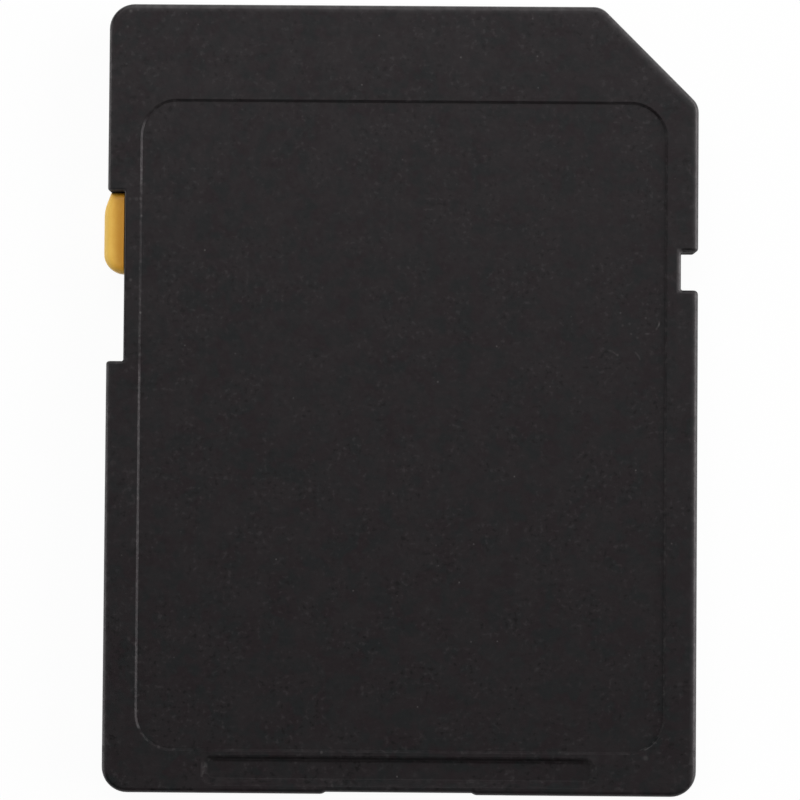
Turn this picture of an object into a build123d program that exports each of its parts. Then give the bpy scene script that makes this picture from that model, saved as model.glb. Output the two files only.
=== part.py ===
from build123d import *
from math import sqrt
import os

# A full-size memory card lying on its back, in millimetres.
# X runs across the card, Y towards the contact end and Z up to the label face.

# Overall form of the card
card_width = 24.0
card_length = 32.0
card_thickness = 2.1
rail_thickness = 1.4        # the sides, which run in a reader's guides
rail_width = 0.75           # how far the back stands in below the rails
corner_radius = 1.03
key_leg = 3.97              # legs of the cut corner
key_radius = 0.77
face_edge_radius = 0.22
back_edge_radius = 0.12
rail_bevel = 0.1            # along the rails' lower edges
lead_bevel = 0.25           # eases the leading edge into a reader
parting_bevel = 0.04        # the fine groove where the shells meet

# Walls of the case
front_shell_depth = 0.8     # from the label face down to the parting plane
face_wall = 0.22            # under the label recess
back_wall = 0.3
notch_wall = 0.7            # between a notch's floor and the cavity
lead_wall = 0.9
tail_wall = 1.6
key_wall = 0.8
cavity_radius = 0.5
tongue_width = 0.4          # the front shell's inner rim, which holds the board down
tongue_gap = 0.05
ledge_width = 0.4           # the rear shell's ledge, which carries the board

# Label face
label_left_margin = 1.33
label_right_margin = 1.275
label_lead_margin = 3.91
label_tail_margin = 1.72
label_depth = 0.09
label_radius = 1.5
label_rim_radius = 0.06
strip_side_margin = 4.04    # the narrow recess near the tail
strip_tail_margin = 0.36
strip_length = 1.17
strip_depth = 0.2
strip_radius = 0.45
strip_rim_radius = 0.1
strip_foot_radius = 0.2
recess_draft = 42.0         # slope of the recess walls, in degrees
gate_width = 5.9            # shallow relief in the tail edge
gate_depth = 0.08
gate_ramp = 0.15
gate_root_radius = 0.1
gate_corner_ease = 0.03     # by how much its outer corners are rounder than the face edge

# Notches in the sides
notch_root_radius = 0.08
switch_edge_radius = 0.12   # around a notch's rim and down its outer corners
latch_edge_radius = 0.16
switch_notch_start = 7.65   # from the leading end
switch_notch_length = 6.92
switch_notch_depth = 0.7
latch_notch_start = 9.98
latch_notch_length = 1.55
latch_notch_depth = 0.7

# Write-protect slider
slider_length = 3.31
slider_proud = 0.18
tab_sink = 0.32             # how far its top lies below the label face
tab_thickness = 1.0
tab_edge_radius = 0.3
tab_tail_radius = 0.8
tab_lead_inset = 0.27       # the outer side slopes in towards the leading end
tab_lead_slope = 0.7
tab_slope_radius = 1.5
neck_length = 2.2
neck_thickness = 0.34
flange_length = 3.0
flange_width = 0.5
flange_thickness = 0.8
fence_thickness = 0.3       # keeps the flange against the side wall
fence_headroom = 0.15
slide_gap = 0.05
end_gap = 0.03
channel_end_gap = 0.1
detent_height = 0.06
detent_half_length = 0.25

# Circuit board and contacts
board_thickness = 0.3
board_gap = 0.15
pad_thickness = 0.05
pad_width = 1.5
narrow_pad_width = 1.2      # contacts 7 and 8, which share one window
pad_length = 4.5
pad_start = 1.3             # from the leading end
pad_radius = 0.2
pad_edge_margin = 0.12      # keeps contact 9 on the board beside the cut corner
contact_right_margin = 2.625
contact_left_margin = 2.25
contact_7_step = 2.425      # from contact 6 to contact 7
contact_8_step = 1.7        # from contact 7 to contact 8
window_margin = 0.15
window_frame = 0.6          # solid back around the windows

# Parts on the board
chip_headroom = 0.08
chip_dimple_radius = 0.4
chip_dimple_depth = 0.05
chip_dimple_inset = 1.1
chip_draft = 8.0
flash_span = 15.4
flash_width = 12.0
flash_standoff = 0.05
flash_tail_gap = 1.2
lead_count = 24
lead_pitch = 0.5
lead_width = 0.22
lead_thickness = 0.1
lead_reach = 0.8
lead_stub = 0.15
lead_slope = 0.12
controller_size = 6.0
controller_headroom = 0.16
controller_gap = 1.6        # from the flash memory
controller_offset = 1.0
controller_edge_bevel = 0.06
small_part_gap = 1.2        # from the controller
small_part_length = 1.0
small_part_width = 0.5
small_part_pitch = 1.0
small_part_cap_length = 0.25
small_part_cap_rise = 0.02
capacitor_count = 6
capacitor_headroom = 0.2
resistor_count = 5
resistor_headroom = 0.35

# Heights above the back
contact_face = card_thickness - rail_thickness
board_seat = contact_face + pad_thickness
board_top = board_seat + board_thickness
parting = card_thickness - front_shell_depth
ceiling = card_thickness - label_depth - face_wall

# Plan of the card and of its cavity
half_width = card_width / 2
lead = card_length / 2
tail = -lead
key_sum = half_width + lead - key_leg       # x + y along the cut corner
back_half_width = half_width - rail_width
cavity_half_width = half_width - switch_notch_depth - notch_wall
cavity_lead = lead - lead_wall
cavity_tail = tail + tail_wall
cavity_key_sum = key_sum - key_wall * sqrt(2)

switch_notch_floor = -half_width + switch_notch_depth
switch_notch_high = lead - switch_notch_start
switch_notch_low = switch_notch_high - switch_notch_length
latch_notch_floor = half_width - latch_notch_depth
latch_notch_high = lead - latch_notch_start
latch_notch_low = latch_notch_high - latch_notch_length
switch_notch = (-half_width, switch_notch_floor, switch_notch_high, switch_notch_low)
latch_notch = (half_width, latch_notch_floor, latch_notch_low, latch_notch_high)

# Corners of the plan with their radii, anticlockwise from the tail left
gate_corner_radius = face_edge_radius + gate_corner_ease
tail_corners = [
    ((-half_width, tail), corner_radius),
    ((-gate_width / 2 - gate_ramp, tail), gate_corner_radius),
    ((-gate_width / 2, tail + gate_depth), gate_root_radius),
    ((gate_width / 2, tail + gate_depth), gate_root_radius),
    ((gate_width / 2 + gate_ramp, tail), gate_corner_radius),
    ((half_width, tail), corner_radius),
]
lead_corners = [
    ((half_width, key_sum - half_width), key_radius),
    ((key_sum - lead, lead), key_radius),
    ((-half_width, lead), corner_radius),
]

# The slider at rest (unlocked) and at the end of its travel (locked)
unlocked_y = switch_notch_high - end_gap - slider_length / 2
locked_y = switch_notch_low + end_gap + slider_length / 2
slider_high = unlocked_y + slider_length / 2
slider_low = unlocked_y - slider_length / 2
tab_inner = switch_notch_floor - slide_gap
tab_outer = -half_width - slider_proud
tab_high = card_thickness - tab_sink
tab_low = tab_high - tab_thickness
flange_outer = -cavity_half_width + slide_gap
flange_inner = flange_outer + flange_width
flange_high = ceiling - slide_gap
flange_low = flange_high - flange_thickness
fence_outer = flange_inner + slide_gap
fence_inner = fence_outer + fence_thickness
channel_high = unlocked_y + flange_length / 2 + channel_end_gap
channel_low = locked_y - flange_length / 2 - channel_end_gap
slit_high = unlocked_y + neck_length / 2 + channel_end_gap
slit_low = locked_y - neck_length / 2 - channel_end_gap
slit_half_height = neck_thickness / 2 + slide_gap

# Contacts, numbered as on every such card
contact_x = {9: half_width - contact_right_margin, 8: -half_width + contact_left_margin}
contact_x[7] = contact_x[8] + contact_8_step
contact_x[6] = contact_x[7] + contact_7_step
contact_pitch = (contact_x[9] - contact_x[6]) / 6
for number in range(1, 6):
    contact_x[number] = contact_x[9] - number * contact_pitch
pad_lead = lead - pad_start
board_key_sum = cavity_key_sum - board_gap * sqrt(2)
pad_9_lead = board_key_sum - contact_x[9] - pad_width / 2 - pad_edge_margin
window_tail = pad_lead - pad_length - window_margin
window_9_tail = pad_9_lead - pad_length - window_margin

# Windows by their contact, as left side, right side and closed end
single_half = pad_width / 2 + window_margin
shared_half = narrow_pad_width / 2 + window_margin
windows = {n: (contact_x[n] - single_half, contact_x[n] + single_half, window_tail) for n in range(1, 7)}
windows[7] = (contact_x[8] - shared_half, contact_x[7] + shared_half, window_tail)
windows[9] = (contact_x[9] - single_half, contact_x[9] + single_half, window_9_tail)

# Places on the board
flash_y = cavity_tail + flash_tail_gap + flash_width / 2
flash_thickness = ceiling - chip_headroom - flash_standoff - board_top
flash_middle = board_top + flash_standoff + flash_thickness / 2
controller_y = flash_y + flash_width / 2 + controller_gap + controller_size / 2
controller_thickness = ceiling - controller_headroom - board_top
small_part_offset = controller_size / 2 + small_part_gap + small_part_length / 2


def rounded_face(corners, mode=Mode.ADD):
    """Face inside a closed border, from its corners and their radii."""
    with BuildLine() as border:
        FilletPolyline(*[point for point, _ in corners], radius=[r for _, r in corners], close=True)
    make_face(border.edges(), mode=mode)


def cavity_outline(inset, mode=Mode.ADD):
    """Face of the cavity's plan, drawn in by an inset on every side."""
    side = cavity_half_width - inset
    front = cavity_lead - inset
    back = cavity_tail + inset
    diagonal = cavity_key_sum - inset * sqrt(2)
    points = [
        (-side, back),
        (side, back),
        (side, diagonal - side),
        (diagonal - front, front),
        (-side, front),
    ]
    rounded_face([(point, cavity_radius) for point in points], mode)


def notch_corners(side, floor, first, second, mouth_radius):
    """Corners of a notch with their radii, in the order in which the plan runs through it."""
    return [
        ((side, first), mouth_radius),
        ((floor, first), notch_root_radius),
        ((floor, second), notch_root_radius),
        ((side, second), mouth_radius),
    ]


def card_outline():
    """Face of the card's plan."""
    rounded_face(tail_corners + lead_corners)


def notched_outline():
    """Face of the card's plan with the latch notch and the switch notch cut into its sides."""
    latch = notch_corners(*latch_notch, latch_edge_radius)
    switch = notch_corners(*switch_notch, switch_edge_radius)
    rounded_face(tail_corners + latch + lead_corners + switch)


def span_rectangle(left, right, low, high, mode=Mode.ADD):
    """Rectangle between two values of X and two of Y."""
    with Locations(((left + right) / 2, (low + high) / 2)):
        Rectangle(right - left, high - low, mode=mode)


def channel_clearance(mode=Mode.ADD):
    """Face of the room that the board and the front shell leave around the slider's channel."""
    span_rectangle(
        -cavity_half_width,
        fence_inner + board_gap,
        channel_low - board_gap,
        channel_high + board_gap,
        mode,
    )


def slider_span(left, right, length):
    """Rectangle of one of the slider's inner pieces, centred along the slider."""
    span_rectangle(left, right, unlocked_y - length / 2, unlocked_y + length / 2)


def window_openings():
    """Faces of all the contact windows, open at the leading end."""
    for left, right, closed_end in windows.values():
        span_rectangle(left, right, closed_end, lead)


def finish_piece(piece, name):
    """Labels a finished piece and writes it."""
    piece.part.label = name
    export_step(piece.part, f"parts/{name}.step")


os.makedirs("parts", exist_ok=True)

# Rear shell: stepped back, board pocket, contact comb and the channel that traps the slider
with BuildPart() as rear_shell:
    with BuildSketch(Plane.XY.offset(contact_face)):
        notched_outline()
    extrude(amount=parting - contact_face)
    chamfer(rear_shell.edges().group_by(Axis.Z)[0], rail_bevel)
    chamfer(rear_shell.edges().group_by(Axis.Z)[-1], parting_bevel)
    with BuildSketch():
        card_outline()
        Rectangle(2 * back_half_width, card_length, mode=Mode.INTERSECT)
    extrude(amount=contact_face + rail_bevel)
    fillet(rear_shell.edges().group_by(Axis.Z)[0], back_edge_radius)

    # Board pocket, and the deeper hollow under the board inside its ledge
    with BuildSketch(Plane.XY.offset(board_seat)):
        cavity_outline(0)
    extrude(amount=parting - board_seat, mode=Mode.SUBTRACT)
    with BuildSketch(Plane.XY.offset(back_wall)):
        cavity_outline(ledge_width)
        solid_areas = [
            (-half_width, half_width, window_tail - window_frame, lead),
            (windows[9][0] - window_frame, half_width, window_9_tail - window_frame, lead),
            (-half_width, fence_inner, channel_low - ledge_width, channel_high + ledge_width),
        ]
        for area in solid_areas:
            span_rectangle(*area, mode=Mode.SUBTRACT)
    extrude(amount=board_seat - back_wall, mode=Mode.SUBTRACT)

    # Contact windows, open at the leading end, with the ribs of the comb left between them
    with BuildSketch():
        window_openings()
    extrude(amount=contact_face, mode=Mode.SUBTRACT)
    with BuildSketch():
        window_openings()
        cavity_outline(0, Mode.INTERSECT)
    extrude(amount=board_seat, mode=Mode.SUBTRACT)

    # Bevels along the leading edge, on the ribs and above the windows
    with BuildSketch(Plane.YZ):
        with BuildLine():
            Polyline((lead, 0), (lead, lead_bevel), (lead - lead_bevel, 0), close=True)
        make_face()
    extrude(amount=half_width, both=True, mode=Mode.SUBTRACT)
    for left, right, _ in windows.values():
        with BuildSketch(Plane.YZ.offset(left)):
            with BuildLine():
                Polyline(
                    (lead, contact_face),
                    (lead, contact_face + lead_bevel),
                    (lead - lead_bevel, contact_face),
                    close=True,
                )
            make_face()
        extrude(amount=right - left, mode=Mode.SUBTRACT)

    # Slider channel: slit through the side wall, fence, and detent ridge at mid-travel
    with BuildSketch(Plane.XY.offset(parting - slit_half_height)):
        span_rectangle(switch_notch_floor, -cavity_half_width, slit_low, slit_high)
    extrude(amount=slit_half_height, mode=Mode.SUBTRACT)
    with BuildSketch(Plane.XY.offset(board_seat)):
        span_rectangle(fence_outer, fence_inner, channel_low, channel_high)
    extrude(amount=ceiling - fence_headroom - board_seat)
    with BuildSketch(Plane.YZ.offset(-cavity_half_width)):
        with BuildLine():
            ridge_y = (unlocked_y + locked_y) / 2
            ThreePointArc(
                (ridge_y - detent_half_length, board_seat),
                (ridge_y, board_seat + detent_height),
                (ridge_y + detent_half_length, board_seat),
            )
            Line((ridge_y + detent_half_length, board_seat), (ridge_y - detent_half_length, board_seat))
        make_face()
    extrude(amount=fence_outer + cavity_half_width)
finish_piece(rear_shell, "rear_shell")

# Front shell: label recess, tail strip, rounded face edge, and the tongue that holds the board down
with BuildPart() as front_shell:
    with BuildSketch(Plane.XY.offset(parting)):
        card_outline()
    extrude(amount=front_shell_depth)
    fillet(front_shell.edges().group_by(Axis.Z)[-1], face_edge_radius)

    # Notches, each rounded from its floor's rim along the ends and down its outer corners
    with BuildSketch(Plane.XY.offset(parting)):
        rounded_face(notch_corners(*switch_notch, 0))
        rounded_face(notch_corners(*latch_notch, 0))
    extrude(amount=front_shell_depth, mode=Mode.SUBTRACT)
    for place, radius in ((2, switch_edge_radius), (-3, latch_edge_radius)):
        long_edges = front_shell.edges().group_by(Axis.Z)[-1].filter_by(Axis.Y).sort_by(Axis.X)
        fillet(long_edges[place], radius)
    chamfer(front_shell.edges().group_by(Axis.Z)[0], parting_bevel)

    # Label recess with a soft rim, and tail strip with a soft rim and foot
    with BuildSketch(Plane.XY.offset(card_thickness)):
        span_rectangle(
            -half_width + label_left_margin,
            half_width - label_right_margin,
            tail + label_tail_margin,
            lead - label_lead_margin,
        )
        fillet(vertices(), label_radius)
    extrude(amount=-label_depth, taper=recess_draft, mode=Mode.SUBTRACT)
    fillet(front_shell.edges(Select.LAST).group_by(Axis.Z)[-1], label_rim_radius)
    with BuildSketch(Plane.XY.offset(card_thickness)):
        span_rectangle(
            -half_width + strip_side_margin,
            half_width - strip_side_margin,
            tail + strip_tail_margin,
            tail + strip_tail_margin + strip_length,
        )
        fillet(vertices(), strip_radius)
    extrude(amount=-strip_depth, taper=recess_draft, mode=Mode.SUBTRACT)
    strip_edges = front_shell.edges(Select.LAST).group_by(Axis.Z)
    fillet(strip_edges[0], strip_foot_radius)
    fillet(strip_edges[-1], strip_rim_radius)

    # Tongue inside the rear shell's board pocket, then the cavity within it
    with BuildSketch(Plane.XY.offset(board_top)):
        cavity_outline(tongue_gap)
    extrude(amount=parting - board_top)
    with BuildSketch(Plane.XY.offset(board_top)):
        cavity_outline(tongue_gap + tongue_width)
    extrude(amount=ceiling - board_top, mode=Mode.SUBTRACT)

    # Room for the slider's flange and the fence, and the upper half of the slit
    with BuildSketch(Plane.XY.offset(board_top)):
        channel_clearance()
    extrude(amount=ceiling - board_top, mode=Mode.SUBTRACT)
    with BuildSketch(Plane.XY.offset(parting)):
        span_rectangle(switch_notch_floor, -cavity_half_width, slit_low, slit_high)
    extrude(amount=slit_half_height, mode=Mode.SUBTRACT)
finish_piece(front_shell, "front_shell")

# Write-protect slider: rounded tab outside, neck through the slit, and flange with its detent nub inside
with BuildPart() as write_protect_slider:
    with BuildSketch(Plane.XY.offset(tab_low)):
        with BuildLine():
            FilletPolyline(
                (tab_inner, slider_low),
                (tab_inner, slider_high),
                (tab_outer + tab_lead_inset, slider_high),
                (tab_outer, slider_high - tab_lead_slope),
                (tab_outer, slider_low),
                radius=[0, 0, 0, tab_slope_radius, tab_tail_radius],
                close=True,
            )
        make_face()
    extrude(amount=tab_thickness)
    rims = write_protect_slider.edges().filter_by(Plane.XY).sort_by(Axis.X)[:-2]
    fillet(rims, tab_edge_radius)
    with BuildSketch(Plane.XY.offset(parting - neck_thickness / 2)):
        slider_span(tab_inner, flange_outer, neck_length)
    extrude(amount=neck_thickness)
    with BuildSketch(Plane.XY.offset(flange_low)):
        slider_span(flange_outer, flange_inner, flange_length)
    extrude(amount=flange_thickness)
    with BuildSketch(Plane.YZ.offset(flange_outer)):
        with BuildLine():
            ThreePointArc(
                (unlocked_y - detent_half_length, flange_low),
                (unlocked_y, flange_low - detent_height),
                (unlocked_y + detent_half_length, flange_low),
            )
            Line(
                (unlocked_y + detent_half_length, flange_low),
                (unlocked_y - detent_half_length, flange_low),
            )
        make_face()
    extrude(amount=flange_width)
finish_piece(write_protect_slider, "write_protect_slider")

# Circuit board, cut away around the slider's channel
with BuildPart() as circuit_board:
    with BuildSketch(Plane.XY.offset(board_seat)):
        cavity_outline(board_gap)
        channel_clearance(Mode.SUBTRACT)
    extrude(amount=board_thickness)
finish_piece(circuit_board, "circuit_board")

# Contact pads under the board, behind the windows
for number, x in contact_x.items():
    width = narrow_pad_width if number in (7, 8) else pad_width
    pad_front = pad_9_lead if number == 9 else pad_lead
    with BuildPart() as contact_pad:
        with BuildSketch(Plane.XY.offset(contact_face)):
            with Locations((x, pad_front - pad_length / 2)):
                RectangleRounded(width, pad_length, pad_radius)
        extrude(amount=pad_thickness)
    finish_piece(contact_pad, f"contact_pad_{number}")

# Flash memory: a thin body with drafted sides above and below the band where its leads come out
with BuildPart() as flash_memory_chip:
    for direction in (1, -1):
        with BuildSketch(Plane.XY.offset(flash_middle)):
            with Locations((0, flash_y)):
                Rectangle(flash_span, flash_width)
        extrude(amount=direction * lead_thickness / 2)
        with BuildSketch(Plane.XY.offset(flash_middle + direction * lead_thickness / 2)):
            with Locations((0, flash_y)):
                Rectangle(flash_span, flash_width)
        extrude(amount=direction * (flash_thickness - lead_thickness) / 2, taper=chip_draft)
    with BuildSketch(Plane.XY.offset(flash_middle + flash_thickness / 2)):
        with Locations(
            (flash_span / 2 - chip_dimple_inset, flash_y + flash_width / 2 - chip_dimple_inset)
        ):
            Circle(chip_dimple_radius)
    extrude(amount=-chip_dimple_depth, mode=Mode.SUBTRACT)
finish_piece(flash_memory_chip, "flash_memory_chip")

# One lead, bent down from the middle of the body to the board, and the two rows of it
with BuildPart() as single_lead:
    with BuildSketch(Plane.XZ.offset(-flash_y)):
        lead_root = flash_span / 2
        with BuildLine():
            Polyline(
                (lead_root, flash_middle + lead_thickness / 2),
                (lead_root + lead_stub + lead_thickness / 2, flash_middle + lead_thickness / 2),
                (lead_root + lead_stub + lead_slope + lead_thickness / 2, board_top + lead_thickness),
                (lead_root + lead_reach, board_top + lead_thickness),
                (lead_root + lead_reach, board_top),
                (lead_root + lead_stub + lead_slope - lead_thickness / 2, board_top),
                (lead_root + lead_stub - lead_thickness / 2, flash_middle - lead_thickness / 2),
                (lead_root, flash_middle - lead_thickness / 2),
                close=True,
            )
        make_face()
    extrude(amount=lead_width / 2, both=True)

with BuildPart() as flash_memory_leads:
    with GridLocations(0, lead_pitch, 1, lead_count):
        add(single_lead.part)
    mirror(about=Plane.YZ)
finish_piece(flash_memory_leads, "flash_memory_leads")

# Controller: a leadless body with bevelled edges
with BuildPart() as controller_chip:
    with BuildSketch(Plane.XY.offset(board_top)):
        with Locations((controller_offset, controller_y)):
            Rectangle(controller_size, controller_size)
    extrude(amount=controller_thickness)
    chamfer(controller_chip.edges().group_by(Axis.Z)[-1], controller_edge_bevel)
    dimple_shift = controller_size / 2 - chip_dimple_inset
    with BuildSketch(Plane.XY.offset(board_top + controller_thickness)):
        with Locations((controller_offset + dimple_shift, controller_y + dimple_shift)):
            Circle(chip_dimple_radius)
    extrude(amount=-chip_dimple_depth, mode=Mode.SUBTRACT)
finish_piece(controller_chip, "controller_chip")


def small_part_column(kind, count, side, headroom):
    """Column of small parts with end caps, on one side of the controller."""
    height = ceiling - headroom - board_top
    x = controller_offset + side * small_part_offset
    cap_shift = (small_part_length - small_part_cap_length) / 2
    for number in range(1, count + 1):
        y = controller_y + (number - (count + 1) / 2) * small_part_pitch
        with BuildPart() as small_part:
            with BuildSketch(Plane.XY.offset(board_top)):
                with Locations((x, y)):
                    Rectangle(small_part_length, small_part_width)
            extrude(amount=height - small_part_cap_rise)
            with BuildSketch(Plane.XY.offset(board_top)):
                with Locations((x - cap_shift, y), (x + cap_shift, y)):
                    Rectangle(small_part_cap_length, small_part_width + 2 * small_part_cap_rise)
            extrude(amount=height)
        finish_piece(small_part, f"{kind}_{number}")


small_part_column("capacitor", capacitor_count, 1, capacitor_headroom)
small_part_column("resistor", resistor_count, -1, resistor_headroom)
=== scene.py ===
import math

import bpy
from mathutils import Matrix, Vector


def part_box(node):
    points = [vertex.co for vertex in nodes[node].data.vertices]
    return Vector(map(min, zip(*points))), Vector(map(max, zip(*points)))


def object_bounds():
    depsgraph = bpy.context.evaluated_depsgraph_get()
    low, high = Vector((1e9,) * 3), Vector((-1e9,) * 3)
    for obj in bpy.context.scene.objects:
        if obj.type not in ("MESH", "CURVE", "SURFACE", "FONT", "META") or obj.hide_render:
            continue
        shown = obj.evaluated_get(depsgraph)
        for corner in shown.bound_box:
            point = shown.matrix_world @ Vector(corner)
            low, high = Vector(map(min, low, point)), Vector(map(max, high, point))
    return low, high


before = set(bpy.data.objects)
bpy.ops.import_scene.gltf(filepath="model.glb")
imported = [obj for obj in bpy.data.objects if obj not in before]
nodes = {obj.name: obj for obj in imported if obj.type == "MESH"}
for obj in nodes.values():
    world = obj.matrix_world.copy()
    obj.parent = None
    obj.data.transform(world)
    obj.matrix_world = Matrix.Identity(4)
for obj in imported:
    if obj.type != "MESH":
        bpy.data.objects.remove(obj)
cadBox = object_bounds()
mm = 0.001                       # lengths in the settings are in millimetres
middle = 0.5                     # of a noise, and of a piece's own box
print("frame loaded:", len(nodes), "pieces")


class Wire:
    # one socket, so that shader maths can be written as sums
    def __init__(self, finish, socket):
        self.finish = finish
        self.socket = socket

    def maths(self, operation, *terms):
        return self.finish.node("ShaderNodeMath", {"operation": operation}, dict(enumerate(terms)))

    def other(self, output):     # another output of the same node
        return Wire(self.finish, self.socket.node.outputs[output])

    def most(self, *terms):      # the greatest of this and the terms
        greatest = self
        for term in terms:
            greatest = self.maths("MAXIMUM", greatest, term)
        return greatest

    def __add__(self, term):
        return self.maths("ADD", self, term)

    def __radd__(self, term):
        return self.maths("ADD", term, self)

    def __sub__(self, term):
        return self.maths("SUBTRACT", self, term)

    def __rsub__(self, term):
        return self.maths("SUBTRACT", term, self)

    def __mul__(self, term):
        return self.maths("MULTIPLY", self, term)

    def __rmul__(self, term):
        return self.maths("MULTIPLY", term, self)

    def __abs__(self):
        return self.maths("ABSOLUTE", self)

    def __gt__(self, term):
        return self.maths("GREATER_THAN", self, term)

    def __lt__(self, term):      # also answers number > wire
        return self.maths("LESS_THAN", self, term)


class Finish:
    # a material while its nodes are put together
    def __init__(self, name):
        self.material = bpy.data.materials.new(name)
        self.material.use_nodes = True
        self.tree = self.material.node_tree
        self.tree.nodes.clear()
        metres = self.node("ShaderNodeTexCoord", {}, {}, "Object")
        self.share = metres.other("Generated")       # place within the piece's own box, 0 to 1
        self.facing = metres.other("Normal")
        sockets = {0: metres, "Scale": 1 / mm}
        self.spot = self.node("ShaderNodeVectorMath", {"operation": "SCALE"}, sockets)
        self.x, self.y, _ = self.axes(self.spot)     # place on the card's plan

    def node(self, kind, settings, sockets, output=0):
        made = self.tree.nodes.new(kind)
        for name, value in settings.items():
            setattr(made, name, value)
        for name, value in sockets.items():
            if isinstance(value, Wire):
                self.tree.links.new(value.socket, made.inputs[name])
            else:
                made.inputs[name].default_value = value
        return Wire(self, made.outputs[output]) if made.outputs else None

    def axes(self, vector):
        x = self.node("ShaderNodeSeparateXYZ", {}, {0: vector})
        return x, x.other("Y"), x.other("Z")

    def stretch(self, factors):
        return self.node("ShaderNodeVectorMath", {"operation": "MULTIPLY"}, {0: self.spot, 1: factors})

    def distance(self, centre):              # from a point, in millimetres
        sockets = {0: self.spot, 1: centre}
        return self.node("ShaderNodeVectorMath", {"operation": "DISTANCE"}, sockets, "Value")

    def noise(self, size, detail, place=None):
        sockets = {"Vector": place or self.spot, "Scale": 1 / size, "Detail": detail}
        return self.node("ShaderNodeTexNoise", {}, sockets)

    def ease(self, value, start, end):       # 0 at start, 1 at end, smooth between
        sockets = {"Value": value, "From Min": start, "From Max": end}
        return self.node("ShaderNodeMapRange", {"interpolation_type": "SMOOTHSTEP"}, sockets)

    def layer(self, size, detail, start, end):
        return self.ease(self.noise(size, detail), start, end)

    def near(self, distance, reach, core):   # 1 within a core share of the reach, 0 beyond the reach
        return self.ease(distance, reach, reach * core)

    def patch(self, place, reaches, cores):  # the same around a place on the plan, across and along
        across = self.near(abs(self.x - place[0]), reaches[0], cores[0])
        return across * self.near(abs(self.y - place[1]), reaches[1], cores[1])

    def blend(self, factor, first, second):
        return self.node("ShaderNodeMix", {"data_type": "RGBA"}, {0: factor, 6: first, 7: second}, 2)

    def bump(self, height, depth):           # depth in millimetres for a height of 1
        sockets = {"Height": height, "Strength": 1.0, "Distance": depth * mm}
        return self.node("ShaderNodeBump", {}, sockets)

    def close(self, sockets):
        shader = self.node("ShaderNodeBsdfPrincipled", {}, sockets)
        self.node("ShaderNodeOutputMaterial", {}, {"Surface": shader})
        return self.material


def dress(finished, *names):
    for name in names:
        nodes[name].material_slots[0].material = finished


def called(start):
    return [name for name in nodes if name.startswith(start)]


# moulded case: black resin with a fine spark-eroded grain
shellSet = {
    "black": (0.0055, 0.0025, 0.0035, 1),
    "cool": (0.0021, 0.0045, 0.0047, 1),     # drifts of a cooler black
    "grey": (0.0090, 0.0074, 0.0080, 1),     # paler clouds in the resin
    "pale": (0.0420, 0.0385, 0.0400, 1),     # rubbed tips of the grain
    "pit": (0.0006, 0.0005, 0.0005, 1),
    "dust": (0.105, 0.100, 0.098, 1),
    "wornAndSheen": (0.060, 0.057, 0.058, 1),      # handled edges, also the colour of painted highlight on edges and slopes
    # noises: size and detail, then the values at which a layer starts and is full
    "drift": (0.7, 2.0, 0.42, 0.58),
    "cloud": (1.7, 4.0, 0.35, 0.68),
    "blotch": (0.6, 2.0, 0.38, 0.62),
    "cluster": (1.2, 2.0, 0.42, 0.62),       # where tips and pits crowd together
    "grain": (0.28, 3.0),
    "fleck": (0.20, 2.0),
    "greyGrain": (0.34, 0.66),               # the grain's part in the grey
    "tips": (0.56, 0.72),                    # flecks that are tips
    "pits": (0.44, 0.30),                    # flecks that are pits
    "clusterFloor": 0.3,                     # share of tips and pits between the clusters
    "cloudShare": 0.45,                      # shares of the grey
    "blotchShare": 0.45,
    "grainShare": 0.3,
    "tipShare": 0.32,                        # of the pale tone
    "roughness": 0.52,
    "slopeRoughness": 0.40,                  # walls with draft
    "wallRoughness": 0.90,                   # upright walls
    "grainPolish": 0.25,                     # roughness taken off by each layer
    "clusterPolish": 0.04,
    "clusterMiddle": 0.7,                    # leaves the roughness as it is
    "cloudPolish": 0.02,
    "slope": (0.998, 0.96),                  # upward share of the facing, from level to sloped
    "upright": (0.4, 0.1),                   # and from sloped to upright
    "sideWall": (0.1, 0.3),                  # sideways share of the facing
    "specular": 0.30,
    "tint": (1.0, 0.935, 0.965, 1),
    "wallDust": 0.11,                        # caught on the walls with draft along the sides
    "wallFlecks": (0.50, 0.62),              # flecks that hold it
    "speckSpacing": 0.8,
    "speckRadius": 0.05,
    "speckCore": 0.3,
    "speckShare": 0.5,                       # share of the cells left without a speck
    "speckStrength": 0.6,
    "grainDepth": 0.006,
    "dustHeight": 0.5,                       # beside a grain 1 high
}
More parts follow.
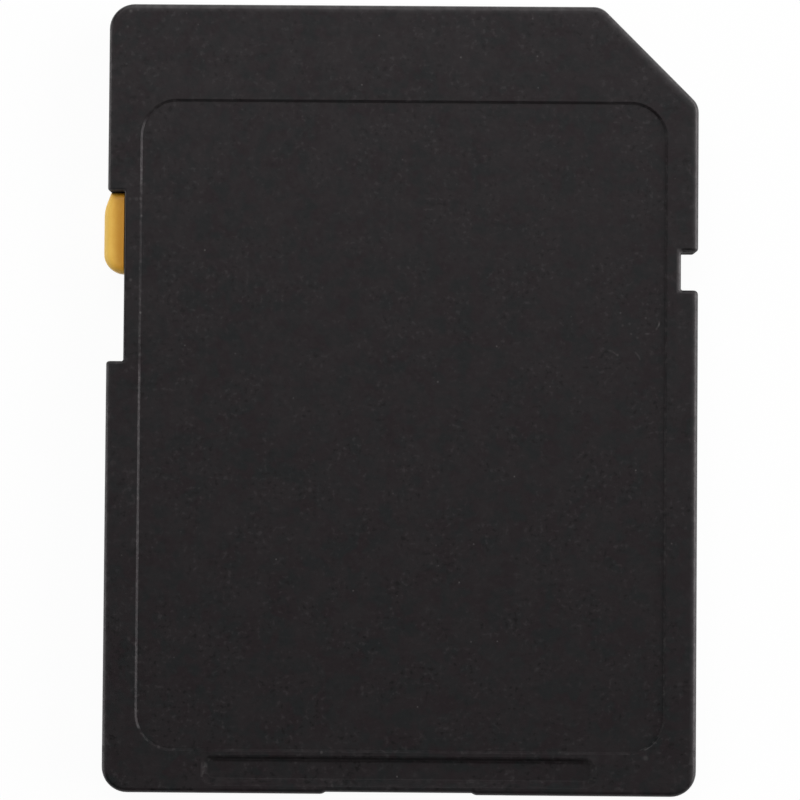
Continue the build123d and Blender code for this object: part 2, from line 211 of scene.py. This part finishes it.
# traces of handling and painted highlights on the label face, in the frame's millimetres; a core is the
# share of a reach, radius or width that is full
faceTraces = {
    # curved scratches: centre, radius, halfway point, half length, strength
    "scratches": [
        ((9.90, 3.22), 0.533, (10.31, 2.93), 0.34, 0.50),
        ((9.90, 3.22), 0.533, (10.02, 2.71), 0.20, 0.25),
        ((8.28, 1.45), 0.565, (8.56, 1.92), 0.28, 0.16),
        ((8.95, 1.38), 0.754, (9.53, 1.81), 0.30, 0.16),
    ],
    "scratchWidth": 0.05,
    "scratchCore": 0.3,
    "scratchEnds": 0.5,                      # core of the half length
    "scratchGrain": (0.35, 0.6),             # the grain breaks the scratches up
    "recessFloor": 2.01,
    # dust: place, radius, strength
    "dust": [
        ((9.95, -14.42, 2.1), 0.15, 0.2),
        ((-3.11, -14.31, 2.07), 0.09, 0.3),
        ((5.99, -15.65, 1.9), 0.07, 0.8),
        ((-10.62, 9.21, 2.05), 0.09, 0.30),
        ((-10.62, 8.85, 2.05), 0.08, 0.30),
        ((-10.60, 7.34, 2.05), 0.08, 0.45),
        ((-10.60, 3.40, 2.05), 0.08, 0.55),
        ((-10.61, 0.76, 2.05), 0.07, 0.30),
        ((-10.63, -1.71, 2.05), 0.08, 0.25),
        ((-10.59, -12.72, 2.05), 0.09, 0.25),
        ((-11.13, 15.68, 2.05), 0.12, 0.45),
        ((-10.84, 15.73, 2.04), 0.10, 0.35),
        ((-11.25, 15.04, 2.1), 0.08, 0.20),
        ((-11.28, 13.52, 2.1), 0.06, 0.15),
        ((-11.08, 8.01, 2.1), 0.09, 0.15),
        ((-10.81, 8.01, 2.1), 0.11, 0.18),
        ((-10.64, 8.03, 2.08), 0.10, 0.30),
        ((-11.02, 4.72, 2.1), 0.09, 0.30),
        ((8.85, 3.53, 2.01), 0.06, 0.32),
        ((9.88, 3.33, 2.01), 0.06, 0.28),
        ((9.22, 3.09, 2.01), 0.08, 0.16),
        ((8.94, 3.02, 2.01), 0.08, 0.14),
        ((9.29, 2.68, 2.01), 0.07, 0.20),
        ((9.54, 2.53, 2.01), 0.08, 0.14),
        ((8.74, 1.82, 2.01), 0.07, 0.28),
    ],
    "dustCore": 0.2,
    # rubbed edges with painted highlight along them: distances from the edge at which the rub and the
    # highlight start and are full
    "wearSheenRight": (0.34, 0.03),
    "wearSheenLeft": (0.25, 0.03),
    "wearSheenLead": (0.38, 0.02),
    "wearSheenKey": (0.63, 0.03),                  # from the cut corner, along one leg
    "keyLeg": 3.97,                          # legs of the cut corner
    # painted highlight on the floor of the latch notch: place, reach across and along the card, cores
    "latchFloorHighlight": ((11.22, 5.25), (0.14, 0.95), (0.5, 0.85)),
    "wearSheenFacing": (-0.6, -0.2),               # no rub or painted highlight on what faces the tail
    "wearSheenLevel": (0.05, 0.25),                # none on upright walls
    "wearSheenGrain": (0.3, 0.7),
    "wearSheenFloor": 0.45,                        # share of the rub and painted highlight between the tips of the grain
    "wearSheenTips": 0.4,                          # share added on them
    "wearSheenShare": 0.9,
    # painted light lifting the shade on some slopes: place, reach across and along the card, share of
    # the edges' rubbed and highlit tone
    "paintedLightSlopes": [
        ((-11.65, 8.28), (0.45, 0.18), 0.6),
        ((11.65, 5.96), (0.45, 0.18), 0.6),
        ((7.85, -15.05), (0.45, 0.75), 0.2),
    ],
    "paintedLightCores": (0.8, 0.6),
    # duller stretches of the recess walls: place, reach across and along the card, added roughness
    "dullWalls": [
        ((-10.6, 4.9), (0.3, 4.1), 0.31),
        ((-10.6, -7.5), (0.3, 8.5), 0.06),
        ((10.72, -1.0), (0.3, 14.0), 0.22),
        ((0.0, -14.24), (16.0, 0.14), 0.40),
        ((0.3, -15.50), (11.5, 0.30), 0.45),
        ((7.85, -15.05), (0.4, 0.75), 0.26),
        ((-10.2, -13.9), (0.75, 0.55), 0.5),
        ((-7.85, -15.05), (0.5, 0.95), 0.36),
    ],
    "dullCores": (0.6, 0.8),
}


def dustMarks(f, t, grain):                  # on the face and in its scratches
    marks = []
    for place, radius, strength in t["dust"]:
        marks.append(f.near(f.distance(place), radius, t["dustCore"]) * strength)
    broken = f.ease(grain, *t["scratchGrain"])
    for centre, radius, halfway, half, strength in t["scratches"]:
        offCurve = abs(f.distance((*centre, t["recessFloor"])) - radius)
        offMiddle = f.distance((*halfway, t["recessFloor"]))
        curve = f.near(offCurve, t["scratchWidth"], t["scratchCore"])
        marks.append(curve * f.near(offMiddle, half, t["scratchEnds"]) * broken * strength)
    return marks


def wornAndSheenEdges(f, t, grain, sloped):
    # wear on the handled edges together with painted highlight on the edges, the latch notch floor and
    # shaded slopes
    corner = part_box("front_shell")[1] / mm           # as if it weren't cut
    keyLine = corner.x + corner.y - t["keyLeg"]      # x + y along the cut
    _, leadwards, upwards = f.axes(f.facing)
    wearAndSheen = f.ease(corner.x - f.x, *t["wearSheenRight"]).most(
        f.ease(corner.x + f.x, *t["wearSheenLeft"]),
        f.ease(corner.y - f.y, *t["wearSheenLead"]),
        f.ease(keyLine - f.x - f.y, *t["wearSheenKey"]),
        f.patch(*t["latchFloorHighlight"]),
    )
    wearAndSheen = wearAndSheen * f.ease(leadwards, *t["wearSheenFacing"]) * f.ease(abs(upwards), *t["wearSheenLevel"])
    # painted light on shaded slopes, lifting their shade
    for place, reaches, share in t["paintedLightSlopes"]:
        wearAndSheen = wearAndSheen.most(f.patch(place, reaches, t["paintedLightCores"]) * sloped * share)
    return wearAndSheen * (t["wearSheenFloor"] + f.ease(grain, *t["wearSheenGrain"]) * t["wearSheenTips"]) * t["wearSheenShare"]


def shellBlack(name, s, traces=None):
    f = Finish(name)
    sideways, _, upwards = f.axes(f.facing)
    sloped = f.ease(abs(upwards), *s["slope"])
    upright = f.ease(abs(upwards), *s["upright"])
    cloud = f.layer(*s["cloud"])
    cluster = s["clusterFloor"] + (1 - s["clusterFloor"]) * f.layer(*s["cluster"])
    grain = f.noise(*s["grain"])
    fleck = f.noise(*s["fleck"])

    rough = s["roughness"] - (grain - middle) * s["grainPolish"] - cloud * s["cloudPolish"]
    rough = rough - (cluster - s["clusterMiddle"]) * s["clusterPolish"]
    rough = rough + sloped * (s["slopeRoughness"] - s["roughness"])
    rough = rough + upright * (s["wallRoughness"] - s["slopeRoughness"])

    cells = f.node("ShaderNodeTexVoronoi", {}, {"Vector": f.spot, "Scale": 1 / s["speckSpacing"]})
    rank = f.axes(cells.other("Color"))[0]
    dust = f.near(cells * s["speckSpacing"], s["speckRadius"], s["speckCore"])
    dust = dust * (rank > s["speckShare"]) * rank * s["speckStrength"]
    sideWall = sloped * f.ease(abs(sideways), *s["sideWall"])
    dust = dust.most(sideWall * f.ease(fleck, *s["wallFlecks"]) * s["wallDust"])

    greyed = cloud * s["cloudShare"] + f.layer(*s["blotch"]) * s["blotchShare"]
    greyed = greyed + f.ease(grain, *s["greyGrain"]) * s["grainShare"]
    colour = f.blend(f.layer(*s["drift"]), s["black"], s["cool"])
    colour = f.blend(greyed, colour, s["grey"])
    colour = f.blend(f.ease(fleck, *s["tips"]) * cluster * s["tipShare"], colour, s["pale"])
    colour = f.blend(f.ease(fleck, *s["pits"]) * cluster, colour, s["pit"])
    if traces:
        for place, reaches, added in traces["dullWalls"]:
            rough = rough + f.patch(place, reaches, traces["dullCores"]) * sloped * added
        dust = dust.most(*dustMarks(f, traces, grain))
        # paler tone of wear and painted highlight on the edges and slopes
        colour = f.blend(wornAndSheenEdges(f, traces, grain, sloped), colour, s["wornAndSheen"])
    colour = f.blend(dust, colour, s["dust"])
    return f.close({
        "Base Color": colour,
        "Roughness": rough,
        "Specular IOR Level": s["specular"],
        "Specular Tint": s["tint"],
        "Normal": f.bump(grain + dust * s["dustHeight"], s["grainDepth"]),
    })


dress(shellBlack("front shell black", shellSet, faceTraces), "front_shell")
dress(shellBlack("rear shell black", shellSet), "rear_shell")
print("shells finished")


# write-protect slider: satin yellow resin, with painted shade in amber beside the case
sliderSet = {
    "yellow": (0.935, 0.595, 0.114, 1),
    # colour of the painted shade where the case shades the slider
    "amberShade": (0.760, 0.318, 0.009, 1),
    "amberShadeEdge": (-12.10, -11.40),           # across the card, where the painted shade starts and is full
    "amberShadeShare": 0.85,
    "shadeFadeEnd": (5.35, 4.95),                 # along the card, the painted shade fades towards the free end
    "shadeFadeShare": 0.85,
    "cloud": (0.8, 3.0, 0.3, 0.7),           # size, detail, start, full
    "cloudPush": 0.12,                       # how far the clouds move the painted shade's edge
    "grain": (0.09, 2.0),                    # size, detail
    "grainShare": 0.08,
    "grainDepth": 0.002,
    "roughness": 0.45,
    "grainRoughness": 0.12,
    "specular": 0.4,
}


def sliderYellow(s):
    f = Finish("slider yellow")
    cloud = f.layer(*s["cloud"])
    grain = f.noise(*s["grain"])
    # painted shade: amber where the case's notch wall shades the slider, less towards the free end
    amberShade = f.ease(f.x + (cloud - middle) * s["cloudPush"], *s["amberShadeEdge"])
    amberShade = amberShade * (1 - f.ease(f.y, *s["shadeFadeEnd"]) * s["shadeFadeShare"])
    shadeAndGrain = amberShade * s["amberShadeShare"] + grain * s["grainShare"]
    return f.close({
        "Base Color": f.blend(shadeAndGrain, s["yellow"], s["amberShade"]),
        "Roughness": s["roughness"] + (grain - middle) * s["grainRoughness"],
        "Specular IOR Level": s["specular"],
        "Normal": f.bump(grain, s["grainDepth"]),
    })


dress(sliderYellow(sliderSet), "write_protect_slider")
print("slider finished")


# circuit board: green lacquer over tracks and a faint glass weave
boardSet = {
    "lacquer": (0.010, 0.075, 0.028, 1),
    "track": (0.022, 0.135, 0.048, 1),
    "trackPitch": 0.55,
    "trackLength": 3.2,
    "trackHalf": 0.05,                       # half of a track's width
    "trackStagger": 0.37,                    # shift of every other row, as a share of a track
    "trackEdge": 0.3,                        # softness of the edges
    "trackShare": 0.8,
    "weavePitch": 0.35,
    "weaveBand": 0.3,                        # about the pitch of a wave texture at a scale of 1
    "weaveShare": 0.12,
    "weaveHeight": 0.4,                      # beside a track 1 high
    "weaveDepth": 0.002,
    "cloud": (1.2, 3.0),                     # size, detail
    "cloudShare": 0.2,
    "roughness": 0.32,
    "cloudRoughness": 0.12,
}


def boardGreen(s):
    f = Finish("board green")
    tracks = f.node("ShaderNodeTexBrick", {"offset": s["trackStagger"]}, {
        "Vector": f.spot, "Scale": 1.0, "Mortar Size": s["trackHalf"], "Mortar Smooth": s["trackEdge"],
        "Brick Width": s["trackLength"], "Row Height": s["trackPitch"]}, "Fac")
    thread = {"Vector": f.spot, "Scale": s["weaveBand"] / s["weavePitch"]}
    warp, weft = [f.node("ShaderNodeTexWave", {"bands_direction": way}, thread, "Fac") for way in "XY"]
    weave = warp * weft
    cloud = f.noise(*s["cloud"])
    lit = tracks * s["trackShare"] + weave * s["weaveShare"] + (cloud - middle) * s["cloudShare"]
    return f.close({
        "Base Color": f.blend(lit, s["lacquer"], s["track"]),
        "Roughness": s["roughness"] + cloud * s["cloudRoughness"],
        "Normal": f.bump(weave * s["weaveHeight"] + tracks, s["weaveDepth"]),
    })


dress(boardGreen(boardSet), "circuit_board")
print("board finished")


# contacts: gold over nickel, wiped lengthways by the springs of a reader
padSet = {
    "gold": (0.830, 0.560, 0.210, 1),
    "pale": (0.900, 0.690, 0.360, 1),
    "dull": (0.560, 0.360, 0.140, 1),
    "dulling": (0.9, 3.0, 0.35, 0.7),        # size, detail, start, full
    "dullShare": 0.5,
    "wipeShare": 0.16,                       # half width of the wiped track, as a share of the contact
    "wipeCore": 0.5,                         # full share of it
    "wipeStart": (0.12, 0.25),               # along the contact, as shares
    "scratchSize": 0.035,
    "scratchLength": 2.0,
    "scratchDetail": 3.0,
    "scratchRange": (0.4, 0.65),
    "scratchDepth": 0.0012,
    "roughness": 0.30,
    "scratchRoughness": 0.25,
    "wipePolish": 0.08,
}


def padGold(s):
    f = Finish("contact gold")
    across, along, _ = f.axes(f.share)
    drawn = f.stretch((1 / s["scratchSize"], 1 / s["scratchLength"], 1))
    scratches = f.noise(1.0, s["scratchDetail"], drawn)
    wiped = f.near(abs(across - middle), s["wipeShare"], s["wipeCore"]) * f.ease(along, *s["wipeStart"])
    colour = f.blend(f.layer(*s["dulling"]) * s["dullShare"], s["gold"], s["dull"])
    colour = f.blend(wiped * f.ease(scratches, *s["scratchRange"]), colour, s["pale"])
    rough = s["roughness"] + (scratches - middle) * s["scratchRoughness"] - wiped * s["wipePolish"]
    return f.close({
        "Base Color": colour,
        "Metallic": 1.0,
        "Roughness": rough,
        "Normal": f.bump(scratches, s["scratchDepth"]),
    })


dress(padGold(padSet), *called("contact_pad"))
print("contacts finished")


# chips: filled black resin, flat and dry
chipSet = {
    "resin": (0.0095, 0.0095, 0.0100, 1),
    "filler": (0.026, 0.026, 0.027, 1),
    "grain": (0.07, 3.0),                    # size, detail
    "grainRange": (0.35, 0.75),
    "grainShare": 0.6,
    "grainDepth": 0.003,
    "cloud": (1.4, 2.0),
    "cloudShare": 0.3,
    "roughness": 0.6,
    "grainRoughness": 0.2,
}


def chipResin(s):
    f = Finish("chip resin")
    grain = f.noise(*s["grain"])
    filled = f.ease(grain, *s["grainRange"]) * s["grainShare"] + f.noise(*s["cloud"]) * s["cloudShare"]
    return f.close({
        "Base Color": f.blend(filled, s["resin"], s["filler"]),
        "Roughness": s["roughness"] + (grain - middle) * s["grainRoughness"],
        "Normal": f.bump(grain, s["grainDepth"]),
    })


dress(chipResin(chipSet), "flash_memory_chip", "controller_chip")
print("chips finished")


# tinned metal, on the leads and on the ends of the small parts
tinSet = {
    "tin": (0.600, 0.595, 0.580, 1),
    "grey": (0.400, 0.395, 0.390, 1),
    "grain": (0.06, 3.0),                    # size, detail
    "grainRange": (0.3, 0.7),
    "grainDepth": 0.001,
    "roughness": 0.30,
    "grainRoughness": 0.2,
}


def leadTin(s):
    f = Finish("tinned lead")
    grain = f.noise(*s["grain"])
    return f.close({
        "Base Color": f.blend(f.ease(grain, *s["grainRange"]), s["tin"], s["grey"]),
        "Metallic": 1.0,
        "Roughness": s["roughness"] + grain * s["grainRoughness"],
        "Normal": f.bump(grain, s["grainDepth"]),
    })


dress(leadTin(tinSet), "flash_memory_leads")
print("leads finished")


# small parts on the board: ceramic bodies between tinned ends
smallColours = {
    "capacitor": {"body": (0.330, 0.205, 0.110, 1), "cover": (0.370, 0.235, 0.130, 1)},
    "resistor": {"body": (0.640, 0.620, 0.580, 1), "cover": (0.012, 0.012, 0.013, 1)},
}
smallSet = {
    "capShare": 0.25,                        # of the length, at each end
    "coverStart": 0.9,                       # share of the height under the cover
    "stain": (0.20, 0.19, 0.18, 1),
    "stainShare": 0.25,
    "roughness": 0.45,
    "tinPolish": 0.12,                       # roughness taken off at the ends
    "grainRoughness": 0.15,
}


def smallPart(kind, colours, s, tin):
    f = Finish(kind + " ceramic")
    along, _, up = f.axes(f.share)
    grain = f.noise(*tin["grain"])
    ends = abs(along - middle) > middle - s["capShare"]
    colour = f.blend(up > s["coverStart"], colours["body"], colours["cover"])
    colour = f.blend(grain * s["stainShare"], colour, s["stain"])
    colour = f.blend(ends, colour, f.blend(grain, tin["tin"], tin["grey"]))
    return f.close({
        "Base Color": colour,
        "Metallic": ends,
        "Roughness": s["roughness"] - ends * s["tinPolish"] + (grain - middle) * s["grainRoughness"],
        "Normal": f.bump(grain, tin["grainDepth"]),
    })


for kind, colours in smallColours.items():
    dress(smallPart(kind, colours, smallSet, tinSet), *called(kind))
print("small parts finished")


# white table: full white to the eye, with the card's shadow kept in its lit share
tableSet = {
    "side": 3000.0,
    "white": (0.97, 0.97, 0.97, 1),
    "glow": 0.95,
}


def layTable(s):
    half = s["side"] / 2 * mm
    height = cadBox[0].z
    corners = [(x * half, y * half, height) for x, y in ((-1, -1), (1, -1), (1, 1), (-1, 1))]
    mesh = bpy.data.meshes.new("table")
    mesh.from_pydata(corners, [], [(0, 1, 2, 3)])
    table = bpy.data.objects.new("table", mesh)
    bpy.context.scene.collection.objects.link(table)
    f = Finish("table white")
    rays = f.node("ShaderNodeLightPath", {}, {}, "Is Camera Ray")
    seen = rays.most(rays.other("Is Glossy Ray"), rays.other("Is Transmission Ray"))
    paper = f.node("ShaderNodeBsdfDiffuse", {}, {"Color": s["white"]})
    glow = f.node("ShaderNodeEmission", {}, {"Strength": 1.0})
    mixed = f.node("ShaderNodeMixShader", {}, {0: seen * s["glow"], 1: paper, 2: glow})
    f.node("ShaderNodeOutputMaterial", {}, {"Surface": mixed})
    mesh.materials.append(f.material)


layTable(tableSet)
print("table laid")


# soft lights: azimuth from +X towards the contact end; level is about the share of a white sheet's
# full brightness that the lamp gives it lying flat beside the card
lampSets = {
    "leadSoftbox": {
        "azimuth": 103, "elevation": 50, "distance": 450, "width": 420, "height": 480, "level": 0.49},
    "leadLow": {
        "azimuth": 90, "elevation": 12, "distance": 420, "width": 420, "height": 170, "level": 0.01},
    "rightSoftbox": {
        "azimuth": 14, "elevation": 27, "distance": 420, "width": 460, "height": 220, "level": 0.38},
    "rightLow": {
        "azimuth": 14, "elevation": 9, "distance": 420, "width": 460, "height": 90, "level": 0.055},
    "leftFill": {
        "azimuth": 180, "elevation": 13, "distance": 420, "width": 300, "height": 120, "level": 0.05},
    "tailFill": {
        "azimuth": 270, "elevation": 10, "distance": 420, "width": 460, "height": 90, "level": 0.01},
}
roomSet = {
    "colour": (1, 1, 1, 1),
    "level": 0.15,
}


def hangLamp(name, s):
    turn = math.radians(s["azimuth"])
    rise = math.radians(s["elevation"])
    away = s["distance"] * mm
    toLamp = Vector((math.cos(rise) * math.cos(turn), math.cos(rise) * math.sin(turn), math.sin(rise)))
    data = bpy.data.lights.new(name, "AREA")
    data.shape = "RECTANGLE"
    data.size = s["width"] * mm
    data.size_y = s["height"] * mm
    data.energy = s["level"] * math.pi ** 2 * away ** 2 / math.sin(rise)
    lamp = bpy.data.objects.new(name, data)
    lamp.location = toLamp * away
    lamp.rotation_mode = "QUATERNION"
    lamp.rotation_quaternion = toLamp.to_track_quat("Z", "Y")
    lamp.visible_camera = False
    bpy.context.scene.collection.objects.link(lamp)


def fillRoom(s):
    room = bpy.data.worlds.new("studio")
    room.use_nodes = True
    walls = room.node_tree.nodes["Background"].inputs
    walls["Color"].default_value = s["colour"]
    walls["Strength"].default_value = s["level"]
    bpy.context.scene.world = room


for name, lampSet in lampSets.items():
    hangLamp(name, lampSet)
fillRoom(roomSet)
print("lamps hung:", len(lampSets))


# camera: almost straight down, a little from the tail end
cameraSet = {
    "lens": 105.0,
    "sensor": 36.0,
    "clipStart": 1.0,
    "aim": (-0.0693, -0.0129),
    "distance": 96.53,
    "leanRight": 0.385,                      # degrees, as the other turns
    "leanLead": -1.519,
    "roll": 0.445,
}


def setCamera(s):
    data = bpy.data.cameras.new("card camera")
    data.lens = s["lens"]
    data.sensor_width = s["sensor"]
    data.clip_start = s["clipStart"] * mm
    camera = bpy.data.objects.new("card camera", data)
    bpy.context.scene.collection.objects.link(camera)
    leans = [math.tan(math.radians(s[way])) for way in ("leanRight", "leanLead")]
    back = Vector((*leans, 1)).normalized()
    right = Vector((0, 1, 0)).cross(back).normalized()
    up = back.cross(right)
    turn = Matrix.Rotation(math.radians(s["roll"]), 3, back)
    right, up = turn @ right, turn @ up
    place = (Vector((*s["aim"], 0)) + back * s["distance"]) * mm
    camera.matrix_world = Matrix((
        (right.x, up.x, back.x, place.x),
        (right.y, up.y, back.y, place.y),
        (right.z, up.z, back.z, place.z),
        (0, 0, 0, 1),
    ))
    bpy.context.scene.camera = camera


setCamera(cameraSet)
bpy.context.scene.view_settings.view_transform = "Standard"
print("camera set")
